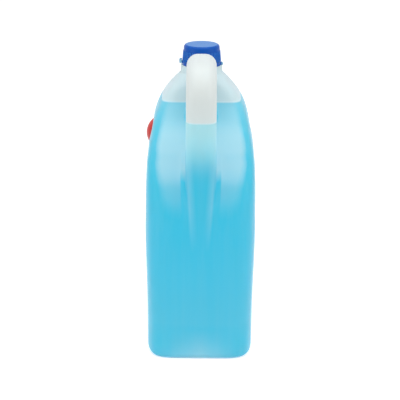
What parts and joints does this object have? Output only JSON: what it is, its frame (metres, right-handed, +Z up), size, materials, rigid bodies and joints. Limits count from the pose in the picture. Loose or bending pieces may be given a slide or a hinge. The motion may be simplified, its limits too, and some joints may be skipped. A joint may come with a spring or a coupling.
{
  "type": "washer fluid jug",
  "caption": "Tall translucent jug of windshield washer fluid with a hollow moulded handle at one end and a ribbed screw cap over a tamper band.",
  "frame": {"origin": "on the floor, under the middle of the jug's length and thickness", "axes": "+Z up along the neck, +X across the broad faces, the handle end at -Y and the neck towards +Y"},
  "size_m": [0.1185, 0.2125, 0.3137],
  "materials": {
    "natural_polyethylene": "milky, translucent, half gloss",
    "blue_fluid": "clear cyan-blue liquid",
    "blue_polypropylene": "half gloss",
    "liner_foam": "matt foam",
    "band_polypropylene": "half gloss",
    "red_badge": "gloss"
  },
  "bodies": {
    "jug": {"jug_body": "natural_polyethylene", "washer_fluid": "blue_fluid", "tamper_band": "band_polypropylene", "round_badge": "red_badge"},
    "liner": {"cap_liner": "liner_foam"},
    "cap": {"screw_cap": "blue_polypropylene"}
  },
  "joints": [
    {"name": "cap_rise", "type": "slide", "parent": "jug", "child": "liner", "axis": [0, 0, 1], "range_m": [0, 0.006]},
    {"name": "cap_turn", "type": "hinge", "parent": "liner", "child": "cap", "pos_m": [0, 0.024, 0.304], "axis": [0, 0, 1], "range_deg": [0, 540]}
  ],
  "couplings": [
    {"joint": "cap_rise", "follows": "cap_turn", "m_per_rad": 0.0006366}
  ]
}
